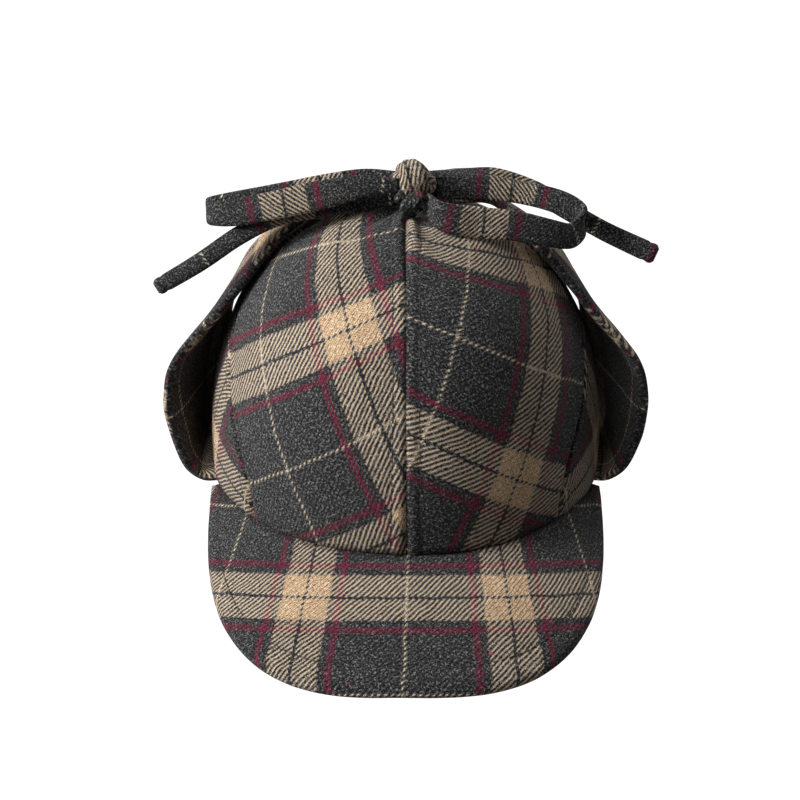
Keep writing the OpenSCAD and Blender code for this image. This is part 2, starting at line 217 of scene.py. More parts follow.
def plaid(name, thread=0.62, dark=1.0):
    """milled wool twill: four colours of yarn in both directions, 2 up 2 down"""
    m, nt, bsdf = new_material(name)
    at = nt.nodes.new("ShaderNodeAttribute")
    at.attribute_name = "cloth"
    sep = nt.nodes.new("ShaderNodeSeparateXYZ")
    nt.links.new(at.outputs["Vector"], sep.inputs[0])
    a0, b0, shade = (S(nt, sep.outputs[k]) for k in range(3))
    vec = at.outputs["Vector"]
    wander = value_noise(nt, vec, 0.09, 2)
    wander2 = value_noise(nt, combine(nt, a0 + 71.3, b0 - 18.0, 5.0), 0.11, 2)
    a, b = a0 + (wander - 0.5)*2.0, b0 + (wander2 - 0.5)*2.0
    hair = value_noise(nt, combine(nt, a*1.6, b*0.8, 3.3), 1.7, 3, 0.65)      # fibres along one yarn
    hair2 = value_noise(nt, combine(nt, b*1.6, a*0.8, 9.1), 1.7, 3, 0.65)     # and along the other
    salt = value_noise(nt, combine(nt, a, b, 21.0), 1.15, 2, 0.75)
    pepper = value_noise(nt, combine(nt, a, b, 57.0), 1.0, 2, 0.75)
    af, bf = a + (hair2 - 0.5)*0.75, b + (hair - 0.5)*0.75
    ia, ib = (af/thread).floor(), (bf/thread).floor()
    def yarn(i):
        c = (i + 0.5)*thread
        d = (c - (c/SETT).round()*SETT).abs()
        # 1 where the yarn is tan, red or cream
        return (d.step(10.5, 10.0)*d.step(0.55, 1.0), (d - 14.7).abs().step(1.55, 1.1),
                (d - SETT/2).abs().step(0.75, 0.35))
    # two-up two-down twill with a ragged, fibrous edge
    stair = (ia - ib)/4.0
    slope = (a - b)/(4.0*thread)
    wave = ((stair*0.6 + slope*0.4)*(2*math.pi)).sin()
    over = (wave*1.35 + (hair + hair2 - 1.0)*2.6 + (salt - 0.5)*1.6 + 0.5).clamp()
    under_over = over*(over*(-1.0) + 1.0)*4.0                                 # 1 where the yarns cross
    melange = colour_mix(nt, pepper.step(0.44, 0.58), CHARCOAL, CHARCOAL_LIGHT)
    melange = colour_mix(nt, salt.step(0.52, 0.64), melange, CHARCOAL_PALE)
    def colour(i, tone):
        t, r, c = yarn(i)
        tan = colour_mix(nt, tone.step(0.34, 0.46), TAN_DARK, TAN)
        tan = colour_mix(nt, tone.step(0.50, 0.62), tan, TAN_LIGHT)
        red = colour_mix(nt, tone.step(0.42, 0.70), MAROON, MAROON_LIGHT)
        x = colour_mix(nt, t, melange, tan)
        x = colour_mix(nt, r, x, red)
        return colour_mix(nt, c, x, CREAM), t, r, red
    cb, tb, rb, red_b = colour(ib, hair2)
    ca, ta, ra, red_a = colour(ia, hair)
    col = colour_mix(nt, over, cb, ca)
    # the fine red yarns stay in sight where they dip under
    col = colour_mix(nt, rb*0.30, col, red_b)
    col = colour_mix(nt, ra*0.30, col, red_a)
    # where tan and charcoal cross, the light yarn is paler and the dark one creeps over it
    mixed = (ta - tb).abs()
    col = colour_mix(nt, mixed*(ta*over + tb*(over*(-1.0) + 1.0))*0.75, col, BEIGE)
    # painted shade, near black, where the yarns dip under one another, plus random dark flecks
    crossing_shade_and_flecks = (under_over*0.70 + pepper.step(0.48, 0.36)*0.55).clamp()
    col = colour_mix(nt, crossing_shade_and_flecks, col, (0.018, 0.017, 0.017))
    # pale lint and a little colour from the neighbouring yarns
    lint = value_noise(nt, combine(nt, a0*0.9, b0*2.6, 80.0), 0.75, 3, 0.7)
    col = colour_mix(nt, lint.step(0.69, 0.76)*0.55, col, (0.42, 0.39, 0.36))
    nep = value_noise(nt, combine(nt, a0, b0, 120.0), 0.30, 1, 0.3)
    col = colour_mix(nt, nep.step(0.792, 0.81)*0.8, col, (0.45, 0.05, 0.10))
    cloud = value_noise(nt, combine(nt, a0, b0, 40.0), 0.03, 3)
    # the cloth attribute's third value is painted shade: it darkens the colour, on top of a random cloudy
    # tone
    hue = nt.nodes.new("ShaderNodeHueSaturation")
    nt.links.new(col, hue.inputs["Color"])
    nt.links.new(((cloud - 0.5)*0.45 + 1.0*dark - shade).clamp().v, hue.inputs["Value"])
    nt.links.new(hue.outputs[0], bsdf.inputs["Base Color"])
    bsdf.inputs["Roughness"].default_value = 0.95
    bsdf.inputs["Specular IOR Level"].default_value = 0.12
    bsdf.inputs["Sheen Weight"].default_value = 0.10
    bsdf.inputs["Sheen Roughness"].default_value = 0.5
    bsdf.inputs["Sheen Tint"].default_value = (0.9, 0.86, 0.82, 1)
    rib = wave*0.7 + salt*1.6 + hair*1.0
    bump = nt.nodes.new("ShaderNodeBump")
    bump.inputs["Strength"].default_value = 0.75
    bump.inputs["Distance"].default_value = 0.0005
    nt.links.new(rib.v, bump.inputs["Height"])
    nt.links.new(bump.outputs[0], bsdf.inputs["Normal"])
    return m

def woven(name, colour, colour2, scale=1.0, rough=0.8, sheen=0.1, rib=(1.0, 1.0), strength=0.3):
    """a plain woven or ribbed cloth in cloth coordinates (mm); rib is the thread pitch each way"""
    m, nt, bsdf = new_material(name)
    at = nt.nodes.new("ShaderNodeAttribute")
    at.attribute_name = "cloth"
    sep = nt.nodes.new("ShaderNodeSeparateXYZ")
    nt.links.new(at.outputs["Vector"], sep.inputs[0])
    a, b = S(nt, sep.outputs[0]), S(nt, sep.outputs[1])
    w = (a*(2*math.pi/rib[0])).sin()*(b*(2*math.pi/rib[1])).sin()
    n = value_noise(nt, at.outputs["Vector"], 1.3*scale, 3, 0.6)
    big = value_noise(nt, at.outputs["Vector"], 0.05, 3)
    tone = (w*0.25 + n*0.7 + big*0.5 - 0.1).clamp()
    nt.links.new(colour_mix(nt, tone, colour, colour2), bsdf.inputs["Base Color"])
    bsdf.inputs["Roughness"].default_value = rough
    bsdf.inputs["Sheen Weight"].default_value = sheen
    bsdf.inputs["Sheen Roughness"].default_value = 0.4
    bump = nt.nodes.new("ShaderNodeBump")
    bump.inputs["Strength"].default_value = strength
    bump.inputs["Distance"].default_value = 0.0003
    nt.links.new((w + n).v, bump.inputs["Height"])
    nt.links.new(bump.outputs[0], bsdf.inputs["Normal"])
    return m

WOOL_MAT = plaid("wool_plaid")
TIE_MAT = plaid("wool_plaid_tie", thread=0.56)
LINING_MAT = woven("lining_twill", (0.012, 0.012, 0.014), (0.035, 0.034, 0.038),
                   rough=0.45, sheen=0.15, rib=(0.5, 0.5), strength=0.15)
BAND_MAT = woven("sweatband_tape", (0.012, 0.011, 0.011), (0.04, 0.037, 0.036),
                 rough=0.85, rib=(1.6, 900.0), strength=0.6)
LABEL_MAT = woven("label_satin", (0.55, 0.53, 0.49), (0.74, 0.72, 0.68),
                  rough=0.5, rib=(0.4, 0.4), strength=0.2)
THREAD_MAT = woven("thread", (0.010, 0.010, 0.011), (0.045, 0.043, 0.045),
                   rough=0.6, sheen=0.2, rib=(0.5, 0.5), strength=0.4)
BOARD_MAT = woven("board", (0.5, 0.48, 0.43), (0.62, 0.6, 0.55), rough=0.9, rib=(1.5, 1.5))

# ------------------------------------------------------------------ crown
def crown_height(side, phi, t):
    """how far the wool stands off the plain dome, in mm; phi 0 to 180 on either side"""
    P = dome(phi, t)*np.array([side, 1, 1])
    r = np.cos(np.radians(t))**(2/DOME)
    h = 1.3*lumps(P, 42, 1) + 0.45*lumps(P, 17, 2)
    fade = smooth((ROUND*r)/14)
    for k in range(4):
        d = np.abs(np.radians(phi - seam(k, t))*ROUND*r)
        ahead = np.radians(phi - seam(k, t))*ROUND*r if k in (1, 2) else d
        h = h + fade*(-1.5*np.exp(-(d/1.0)**2) + 0.45*np.exp(-((d - 3.2)/2.0)**2))
        h = h - fade*0.35*np.exp(-((ahead - 6.0)/0.7)**2)
    # soft folds that run out from under the knot
    top = smooth((t - 55)/30)
    h = h + top*(0.8*np.sin(np.radians(phi*7 + 40*side)) + 0.5*np.sin(np.radians(phi*13)))*smooth(r*ROUND/10)
    return h
# How the cloth lies on the front panels: the two are cut on the bias, as mirror images. A tan crossing
# sits at CROSSING, in mm across from the panel's middle and up from the rim, and the turn grows with
# height, as the panel narrows.
CROSSING = {-1: (16.0, 94.0), 1: (-6.5, 27.0)}
TURN_AT_RIM, TURN_PER_MM = 28.0, 0.08
PANEL_SCALE = 0.92                   # cloth to the mm of dome, once steamed to shape
PANEL_MIDDLE = (35.0, 92.0, 152.0)   # degrees round from the front
def cloth_on_crown(k, side, phi, t):
    r = np.cos(np.radians(t))**(2/DOME)
    X, Y = side*np.radians(phi - PANEL_MIDDLE[k])*ROUND*r, height_along(t)
    if k == 0:
        x0, y0 = CROSSING[side]
        X, Y = X - x0, Y - y0
        turn = np.radians(TURN_AT_RIM + TURN_PER_MM*(y0 + Y/2))*-side
        return (PANEL_SCALE*(X*np.cos(turn) + Y*np.sin(turn)),
                PANEL_SCALE*(-X*np.sin(turn) + Y*np.cos(turn)))
    turn = math.radians({1: 12, 2: 6}[k]*side)
    return (X*math.cos(turn) + Y*math.sin(turn) + {1: 22, 2: 42.5}[k]*side,
            -X*math.sin(turn) + Y*math.cos(turn) + {1: -20, 2: -40}[k])
def crown_panel(name, k, side, nodes):
    nu, nv = 76, 84
    t = np.concatenate([np.zeros(5), 89.8*np.linspace(0.0, 1, nv)])
    u = 0.5 - 0.5*np.cos(np.pi*np.linspace(0, 1, nu + 1))
    u = 0.55*u + 0.45*np.linspace(0, 1, nu + 1)
    T, U = np.meshgrid(t, u, indexing="ij")
    phi = mix(seam(k, T), seam(k + 1, T), U)
    h = crown_height(side, phi, T)
    P = dome(phi, T, h)
    # the hem: up inside, round the edge, and out
    for j, (off, z) in enumerate(((-2.5, 9.0), (-2.5, 4.0), (-2.4, 0.6), (-1.7, -0.25), (-0.6, -0.25))):
        x, y = rim(phi[j], off)
        P[j] = np.stack([x, y, np.full_like(x, z)], -1)
    a, b = cloth_on_crown(k, side, phi, T)
    b = b + np.concatenate([[-11, -6.5, -3.5, -2.2, -1.0], np.zeros(nv)])[:, None]
    P = P*np.array([side, 1, 1])
    to_seam = np.minimum(np.abs(phi - seam(k, T)), np.abs(phi - seam(k + 1, T)))
    d = np.radians(to_seam)*ROUND*np.cos(np.radians(T))**(2/DOME)
    # painted shade along the groove of each seam
    shade = 0.35*np.exp(-(d/0.8)**2)
    ob = make(name, P, grid_faces(len(t), nu + 1, flip=side < 0), np.stack([a, b, shade], -1), WOOL_MAT)
    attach(ob, "crown")
    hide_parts(*nodes)
    return ob
for k, part in enumerate(("front", "side", "back")):
    for side, which in ((1, "left"), (-1, "right")):
        crown_panel(f"crown_{part}_{which}_wool", k, side, [f"crown_{part}_{which}"])

def tube_along(P, radius, m=6):
    """V, F of a round thread along points P (n, 3)"""
    P = np.asarray(P, float)
    n = len(P)
    t = np.gradient(P, axis=0)
    t /= np.linalg.norm(t, axis=1, keepdims=True)
    ref = np.array([0.31, 0.17, 0.93])
    a = np.cross(t, ref)
    a /= np.linalg.norm(a, axis=1, keepdims=True)
    b = np.cross(t, a)
    ang = np.linspace(0, 2*np.pi, m, endpoint=False)
    rr = np.broadcast_to(radius, (n,))[:, None, None]
    V = P[:, None] + (a[:, None]*np.cos(ang)[None, :, None] + b[:, None]*np.sin(ang)[None, :, None])*rr
    return V.reshape(-1, 3), grid_faces(n, m, wrap=True)
def stitches(points, normal, length=2.6, gap=0.7, radius=0.26):
    """thread stitches along a densely sampled line; each dives into the cloth at its ends"""
    P = np.asarray(points, float)
    s = np.concatenate([[0], np.cumsum(np.linalg.norm(np.diff(P, axis=0), axis=1))])
    out, c = [], 0.3
    prof = np.array([-0.35, 0.05, 0.2, 0.24, 0.2, 0.05, -0.35])
    while c + length < s[-1]:
        q = np.linspace(c, c + length, 7)
        pts = np.stack([np.interp(q, s, P[:, k]) for k in range(3)], -1)
        nn = np.stack([np.interp(q, s, normal[:, k]) for k in range(3)], -1)
        V, F = tube_along(pts + nn*prof[:, None], radius, 5)
        out.append((V, F, np.repeat(np.stack([q, 0*q], -1), 5, axis=0)))
        c += length + gap
    return out
def outward(P):
    n = P/np.array([A, B, H])**2
    return n/np.linalg.norm(n, axis=-1, keepdims=True)
parts = []
for side in (1, -1):
    for k in (0, 1, 2):
        t = np.linspace(1.5, 80, 400)
        r = np.cos(np.radians(t))**(2/DOME)
        phi = seam(k, t) + np.degrees(6.0/(ROUND*r))
        P = dome(phi, t, crown_height(side, phi, t))*np.array([side, 1, 1])
        parts += stitches(P, outward(P))
V, F, C = merge(parts)
ob = make("crown_topstitch_thread", V, F, C, THREAD_MAT)
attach(ob, "crown")
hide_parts("crown_topstitch")

# lining gores
def lining(name, k, side, node):
    nu, nv = 26, 34
    T, U = np.meshgrid(np.linspace(1.5, 89.7, nv), np.linspace(0, 1, nu), indexing="ij")
    phi = mix(seam(k, T), seam(k + 1, T), U)
    r = np.cos(np.radians(T))**(2/DOME)
    P0 = dome(phi, T)*np.array([side, 1, 1])
    d = np.minimum(U, 1 - U)*60*r
    h = -3.6 + 0.35*lumps(P0, 16, 5) - 0.25 + 0.5*np.exp(-(d/1.4)**2)
    P = dome(phi, T, h)*np.array([side, 1, 1])
    ob = make(name, P, grid_faces(nv, nu, flip=side > 0),
              np.stack([np.radians(phi - 60*k)*ROUND*r, height_along(T)], -1), LINING_MAT)
    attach(ob, "crown")
    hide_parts(node)
for k, part in enumerate(("front", "side", "back")):
    for side, which in ((1, "left"), (-1, "right")):
        lining(f"lining_{part}_{which}_cloth", k, side, f"lining_{part}_{which}")

# sweatband: a ribbed tape with a rolled lower edge and a folded-over top
phi = np.linspace(0, 360, 241)[:-1]
prof = [(-4.3, 1.5), (-4.4, 0.2), (-4.9, -0.35), (-5.4, 0.0), (-5.6, 1.0), (-5.7, 4), (-5.65, 10),
        (-5.7, 20), (-5.6, 28), (-5.7, 30.2), (-5.5, 31.6), (-5.0, 32.0), (-4.6, 31.5)]
G = []
for off, z in prof:
    t = math.degrees(math.asin(max(0, z/H)**(DOME/2)))
    P = dome(phi, np.full_like(phi, t), off)
    P[:, 2] = z
    G.append(P)
G = np.array(G)
arc = np.cumsum([0] + [math.hypot(p[0] - q[0], p[1] - q[1]) for p, q in zip(prof[1:], prof)])
C = np.stack(np.broadcast_arrays(np.radians(phi)[None]*90, arc[:, None]), -1)
ob = make("sweatband_tape", G, grid_faces(len(G), len(phi), wrap=True), C, BAND_MAT)
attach(ob, "crown")
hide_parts("sweatband")

def side_walls(nj, ni):
    """faces that join the edges of two grids of nj by ni points, one after the other"""
    n = nj*ni
    ring = [j*ni for j in range(nj)] + [(nj - 1)*ni + i for i in range(1, ni)]
    ring += [j*ni + ni - 1 for j in range(nj - 2, -1, -1)] + list(range(ni - 2, 0, -1))
    return [[a, b, b + n, a + n] for a, b in zip(ring, ring[1:] + ring[:1])]
def label(name, angle, w, h, top, node):
    nj, ni = 16, 14
    v, u = np.meshgrid(np.linspace(0, 1, nj), np.linspace(-0.5, 0.5, ni), indexing="ij")
    ang = angle + np.degrees(u*w/90)
    z = top - v*h
    t = np.degrees(np.arcsin(np.maximum(z/H, 0)**(DOME/2)))
    lift = 0.25 + 0.9*v**2*(1 + 0.3*np.sin(5*u)) + 0.15*np.sin(9*u + 4*v)
    P = dome(ang, t, -BAND_FACE - lift)
    P[..., 2] = z
    Q = dome(ang, t, -BAND_FACE - lift - 0.35)
    Q[..., 2] = z
    C = np.stack([u*w, v*h], -1)
    V, F, C2 = merge([(P, grid_faces(nj, ni), C), (Q, grid_faces(nj, ni, flip=True), C)])
    F += side_walls(nj, ni)
    ob = make(name, V, F, C2, LABEL_MAT, smooth_shade=False)
    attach(ob, "crown")
    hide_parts(node)
label("size_label_blank", 180, 22, 14, 29.5, "size_label")
label("care_label_blank", 148, 24, 26, 29.5, "care_label")

# ------------------------------------------------------------------ visor
def visor(q, s, drop=0.0):
    x0, y0 = rim(VISOR_END*q, -WOOL)
    x1 = VISOR_HALF*spow(np.sin(np.pi/2*q), 2/VISOR_POWER)
    y1 = -VISOR_REAR - VISOR_REACH*np.abs(np.cos(np.pi/2*q))**(2/VISOR_POWER)
    L = np.hypot(x1 - x0, y1 - y0)
    return np.stack(np.broadcast_arrays(mix(x0, x1, s), mix(y0, y1, s),
        -0.02 - VISOR_SLOPE*L*s + 0.02*L*np.sin(np.pi*np.clip(s, 0, 1)) - drop), -1), L
def cloth_on_visor(P):
    x, y, z = P[..., 0], P[..., 1], P[..., 2]
    ahead = (-y*0.469 - z*0.883)/0.82          # along the slope of the visor
    b = 75.8 - ahead
    flare = 1 + 0.0030*(ahead - 80)
    a = x/flare
    a = a*(1 + 0.09*(np.abs(a)/86)**3) + SETT/2 + 0.03*(ahead - 80)
    return a, b
def visor_surface(name, top, node):
    nq = 150
    q = np.linspace(-1, 1, nq)
    if top:
        s = np.concatenate([[-0.02], np.linspace(0.0, 0.955, 40)])
    else:
        s = np.concatenate([np.linspace(0.0, 0.955, 24)])
    Sg, Q = np.meshgrid(s, q, indexing="ij")
    P, L = visor(Q, Sg, 0.0 if top else VISOR_THICK)
    # the rolled edge: an arc from the top face to the seam below it
    edge, L1 = visor(q, np.ones(nq))
    back, _ = visor(q, np.full(nq, 0.955))
    out = edge - back
    out /= np.linalg.norm(out, axis=1, keepdims=True)
    width = np.linalg.norm(edge - back, axis=1)
    half = VISOR_THICK/2
    angles = np.radians(np.linspace(80, -28, 12)) if top else np.radians(np.linspace(-80, -36, 5))
    centre = back + out*np.maximum(width - half, 0.2)[:, None] - np.array([0, 0, half])
    arcs = np.array([centre + out*(np.minimum(width, half)*math.cos(w))[:, None]
                     + np.array([0, 0, half*math.sin(w)]) for w in angles])
    G = np.vstack([P, arcs])
    n = normals_of(G)
    if np.mean(n[..., 2]) * (1 if top else -1) < 0: n = -n
    ns = len(s)
    dist = (1 - Sg)*L
    h = np.zeros(G.shape[:2])
    h[:ns] = 0.35*lumps(P, 30, 9) - 0.45*np.exp(-((dist - 9.5)/0.8)**2) + 0.25*np.exp(-((dist - 5.0)/2.4)**2)
    if top: h[:ns] += 0.5*smooth((Sg*L)/6)*np.exp(-(Sg*L/9)**2)
    h[ns:] = 0.12*lumps(G[ns:], 9, 4)
    h[-1] -= 0.5
    G = G + n*h[..., None]
    a, b = cloth_on_visor(G) if top else (G[..., 0]*0.98 + 20, -G[..., 1]*1.08 + 14)
    if top:
        extra = np.linalg.norm(np.diff(arcs, axis=0), axis=-1).cumsum(axis=0)
        b = b.copy()
        a = a.copy()
        base_b, base_a = b[ns - 1], a[ns - 1]
        for j in range(len(angles)):
            w = 1.2 + (extra[j - 1] if j else 0)
            b[ns + j] = base_b - w*np.abs(out[:, 1])
            a[ns + j] = base_a + w*out[:, 0]
    # painted shade: under the rolled edge where the top and under cloths meet, in the crease at the rim, and
    # in the groove of the topstitch line
    shade = np.zeros(G.shape[:2])
    shade[-1] = 0.45
    shade[-2] = 0.15
    if top: shade[:ns] = 0.5*np.exp(-((Sg*L - 2.0)/1.6)**2)
    shade[:ns] += 0.18*np.exp(-((dist - 9.5)/0.7)**2)
    ob = make(name, G, grid_faces(len(G), nq, flip=not top), np.stack([a, b, shade], -1), WOOL_MAT)
    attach(ob, "crown")
    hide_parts(node)
    return ob
visor_surface("visor_top_wool", True, "visor_top_cloth")
visor_surface("visor_under_wool", False, "visor_under_cloth")
q = np.linspace(-0.93, 0.93, 900)
_, L = visor(q, np.ones(900))
P, _ = visor(q, 1 - 9.5/np.maximum(L, 12))
n = np.tile([0, -0.4, 0.91], (900, 1))
V, F, C = merge(stitches(P - n*0.25, n, length=2.7, gap=0.8))
ob = make("visor_topstitch_thread", V, F, C, THREAD_MAT)
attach(ob, "crown")
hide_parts("visor_topstitch")
# the stiff board inside
Sg, Q = np.meshgrid(np.linspace(0.01, 0.9, 12), np.linspace(-0.97, 0.97, 60), indexing="ij")
T0, _ = visor(Q, Sg, 1.5)
B0, _ = visor(Q, Sg, 3.0)
V, F, C = merge([(T0, grid_faces(12, 60), T0[..., :2]), (B0, grid_faces(12, 60, flip=True), B0[..., :2])])
F += side_walls(12, 60)
ob = make("visor_board_inner", V, F, C, BOARD_MAT)
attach(ob, "crown")
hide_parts("visor_board")

# ------------------------------------------------------------------ ear flaps
# a flap from its root to its tip: the line of its front edge, how far it reaches forward and back, and
# how much its rear leans in
PATH = [HINGE, (91, -2.2), (98, 6), (103, 21), (104.5, 38),
        (100, 54.5), (84, 70.5), (69, 87.4), (54.6, 102.2), (42, 111.5)]
FRONT = [-31, -31, -31.5, -31.5, -30, -27, -19, -12, -4, 2]
REAR = [46, 46, 45, 42, 36, 28, 22, 20, 19, 18]
SLANT = [0, 0.02, 0.08, 0.23, 0.325, 0.345, 0.20, 0.06, 0.05, 0.05]
CREASE, SPLIT = 0.55, 0.36           # the fold, and where the lower cloth hands over to the upper
CREASE_SLANT = 0.312               # the CAD crease leans in this much for each mm to the rear
def flap_frame(u):
    p = curve(PATH, u)
    d = curve(PATH, np.minimum(1, u + 0.004)) - curve(PATH, np.maximum(0, u - 0.004))
    d /= np.linalg.norm(d, axis=-1, keepdims=True)
    return p, np.stack([d[..., 1], -d[..., 0]], -1)
_U = np.linspace(0, 1, 400)
_FP = curve(PATH, _U)
_FS = np.concatenate([[0], np.cumsum(np.linalg.norm(np.diff(_FP, axis=0), axis=1))])
def flap_cloth(name, side, u0, u1, face, nodes, bodies, start, end, lie):
    """one face of a flap between u0 and u1; face is 1 for the outer cloth, -1 for the inner"""
    nu, nv = int(150*(u1 - u0)) + 2, 72
    u = np.linspace(u0, u1, nu)
    w = np.linspace(-1, 1, nv)
    w = 0.6*w + 0.4*np.sin(np.pi/2*w)
    U, W = np.meshgrid(u, w, indexing="ij")
    p, n = flap_frame(U)
    y0, y1 = curve(FRONT, U), curve(REAR, U)
    half = (y1 - y0)/2
    # distance to the nearest free edge, across and, at the tip, along
    s = np.interp(U, _U, _FS)
    d = np.minimum((1 - np.abs(W))*half, (_FS[-1] - s) if u1 > 0.99 else 1e3)
    # the two cloths roll round to meet at the edge
    R = HALF_FLAP
    x = np.clip(d/R, 0, 1)
    off = R*np.sqrt(np.clip(1 - (1 - x)**2, 0, 1))
    plump = 0.35*smooth(d/9) - 0.30*np.exp(-((d - 7.0)/0.9)**2)
    across = (W + 1)*half
    P3 = np.stack([p[..., 0] - curve(SLANT, U)*across, y0 + across, p[..., 1]], -1)
    Q = P3*np.array([side, 1, 1])
    bend = 1.1*lumps(Q, 38, 11 + side) + 0.35*lumps(Q, 13, 13)
    bend = bend*smooth((s - 6)/25)*smooth((_FS[-1] - s)/18)
    n3 = np.stack([n[..., 0], 0*n[..., 0], n[..., 1]], -1)
    P = P3 + n3*(bend + face*(off + plump*x) - face*0.18*(x < 0.02))[..., None]
    # at its root the flap follows the curve of the rim
    root = 1 - smooth(s/16)
    phi_r = 90 + np.degrees(np.arcsin(np.clip(P[..., 1]/B, -1, 1)))
    xr, _ = rim(phi_r, -1.6)
    P[..., 0] += root*(xr - HINGE[0])
    P[..., 2] += root*1.1
    a = P3[..., 1]*math.cos(lie[2]) + s*math.sin(lie[2]) + lie[0]
    b = -P3[..., 1]*math.sin(lie[2]) + s*math.cos(lie[2]) + lie[1]
    # painted shade along the flap's rolled edge, where the two cloths meet, and in the groove 7 mm in from
    # it
    shade = 0.35*np.exp(-(d/0.5)**2) + 0.12*np.exp(-((d - 7.0)/0.8)**2)
    P = P*np.array([side, 1, 1])
    ob = make(name, P, grid_faces(nu, nv, flip=(face*side < 0)), np.stack([a, b, shade], -1), WOOL_MAT)
    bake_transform(ob)
    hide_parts(*nodes)
    return ob
def flap(side, which):
    m = lambda p: (side*p[0]*0.001, p[1]*0.001, p[2]*0.001)
    root = dict(start=m((86, 0, -3)), end=m((99, 0, 14)))
    # the crease runs with the flap's slant, so the fold is measured square to it
    p, n = flap_frame(np.array([CREASE - 0.075, CREASE, CREASE + 0.075]))
    run = np.array([p[2, 0] - p[0, 0], 0, p[2, 1] - p[0, 1]])/2
    axis = np.array([-CREASE_SLANT, 1, 0])/math.hypot(CREASE_SLANT, 1)
    run = run - axis*(run @ axis)
    mid = np.array([p[1, 0], 0, p[1, 1]])
    fold = dict(start=m(mid - run), end=m(mid + run))
    main, tip = f"{which}_flap", f"{which}_flap_tip"
    out_lie = (-14.0, {1: -82.0, -1: -130.0}[side], 0.03)
    in_lie = (-20.0, {1: -88.0, -1: -84.0}[side], 0.0)
    for part, face, lie, more in (("outer", 1, out_lie, []), ("inner", -1, in_lie, ["wadding"])):
        nodes = [part] + more
        flap_cloth(f"flap_{which}_{part}_wool_low", side, 0.0, SPLIT, face,
                   [f"flap_{which}_{node}" for node in nodes], ("crown", main), lie=lie, **root)
        flap_cloth(f"flap_{which}_{part}_wool_high", side, SPLIT, 1.0, face,
                   [f"flap_{which}_tip_{node}" for node in nodes], (main, tip), lie=lie, **fold)
flap(1, "left")
flap(-1, "right")

# ------------------------------------------------------------------ ties and bow
def ribbon(points, sides, widths, thick, n, cloth0, seed=1, closed_end=False, m=18):
    """V, F, cloth of a folded fabric ribbon; cloth0 = (a, b) at its start"""
    u = np.linspace(0, 1, n)
    P = curve(points, u)
    sd = curve(sides, u)
    wd = curve(widths, u)
    th = np.full(n, thick) if np.isscalar(thick) else curve(thick, u)
    t = np.gradient(P, axis=0)
    t /= np.linalg.norm(t, axis=1, keepdims=True)
    a = sd - t*(sd*t).sum(1, keepdims=True)
    a /= np.linalg.norm(a, axis=1, keepdims=True)
    b = np.cross(t, a)
    s = np.concatenate([[0], np.cumsum(np.linalg.norm(np.diff(P, axis=0), axis=1))])
    ang = np.linspace(0, 2*np.pi, m, endpoint=False) + np.pi/m
    ca, sa = spow(np.cos(ang), 0.62), spow(np.sin(ang), 0.72)
    V, C = np.zeros((n, m, 3)), np.zeros((n, m, 3))
    for i in range(n):
        left = s[-1] - s[i]
        end = math.sqrt(max(0.0, 1 - (1 - min(1.0, (left + 0.05)/2.6))**2)) if closed_end else 1.0
        pulled = 1 - 0.10*math.exp(-((left - 4.2)/0.8)**2) if closed_end else 1.0
        wide = ca*wd[i]/2*(0.55 + 0.45*end)*pulled
        V[i] = P[i] + a[i][None]*wide[:, None] + b[i][None]*(sa*th[i]/2*end*pulled)[:, None]
        C[i, :, 0] = cloth0[0] + s[i]
        C[i, :, 1] = cloth0[1] + ca*wd[i]/2 + np.where(sa > 0, 0, 23)
        # painted shade along the underside of one folded edge
        C[i, :, 2] = 0.3*np.exp(-((ca - 0.93)/0.12)**2)*(sa < 0)
    wob = lumps(V, 11, seed)*0.5 + lumps(V, 5, seed + 3)*0.2
    # creases across the ribbon; the dark line along its folded edge is painted shade, set in the cloth's
    # third value above
    V = V + (b[:, None]*wob[..., None])*0.9
    F = grid_faces(n, m, wrap=True).tolist()
    F.append(list(range(m - 1, -1, -1)))
    F.append([(n - 1)*m + i for i in range(m)])
    return V.reshape(-1, 3), F, C.reshape(-1, 3), s[-1]
def tie(name, which, pieces, node):
    out, total = [], 0
    for kw in pieces:
        V, F, C, L = ribbon(**kw)
        out.append((V, F, C))
        total += L
    V, F, C = merge(out)
    ob = make(name, V, F, C, TIE_MAT)
    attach(ob, f"{which}_flap_tip")
    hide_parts(node)
    return ob, total
XR = KNOT[0] - KNOT_HALF[0] + 2.4
XL = KNOT[0] + KNOT_HALF[0] - 3.0
def lead(side, x_end, cloth0):
    return dict(points=[[side*45, 10, 109.8], [side*38, 9.5, 115.4], [side*30, 7.5, 117.8],
                        [side*18, 3, 119], [x_end, -2, 120.5]],
                sides=[[0, 1, 0.05*k] for k in range(5)], widths=[12.5, 12, 11.5, 10.5, 8],
                thick=2.6, n=60, cloth0=cloth0, seed=2)
right_loop = dict(
    points=[[XR, -8, 128.5], [-17, -10, 129], [-27, -11, 127.3], [-41, -11.5, 124.3], [-58, -11.5, 120.3],
            [-73, -10.5, 117], [-81.5, -8.5, 115.8], [-84, -5.8, 115.6], [-81, -3.2, 116.3],
            [-62, -3, 119.8], [-45, -2.5, 122.8], [-30, -1.5, 126], [-17, -0.5, 128.3], [XR, -0.5, 128.5]],
    sides=[[0, 0.35, 0.93]]*4 + [[0, 0.25, 0.97]]*5 + [[0, 0.2, 0.98]]*5,
    widths=[6, 9, 11.5, 12.5, 12, 11.6, 10.8, 10.6, 10.8, 11.5, 12, 11, 9, 6.5],
    thick=3.2, n=200, cloth0=(-49, 26), seed=4)
right_tail = dict(
    points=[[XR, -4, 121.5], [-32.5, -6.5, 118.3], [-54, -8, 114.5], [-71, -10, 106.5],
            [-88.5, -14, 95.5], [-107.5, -18, 85]],
    sides=[[-0.05*k, 0.3, 0.9] for k in range(6)], widths=[7, 8.5, 8.5, 8.2, 8, 7.4],
    thick=[2.8, 3.0, 3.4, 3.8, 4.2, 4.6], n=110, cloth0=(-46, 28), seed=7, closed_end=True)
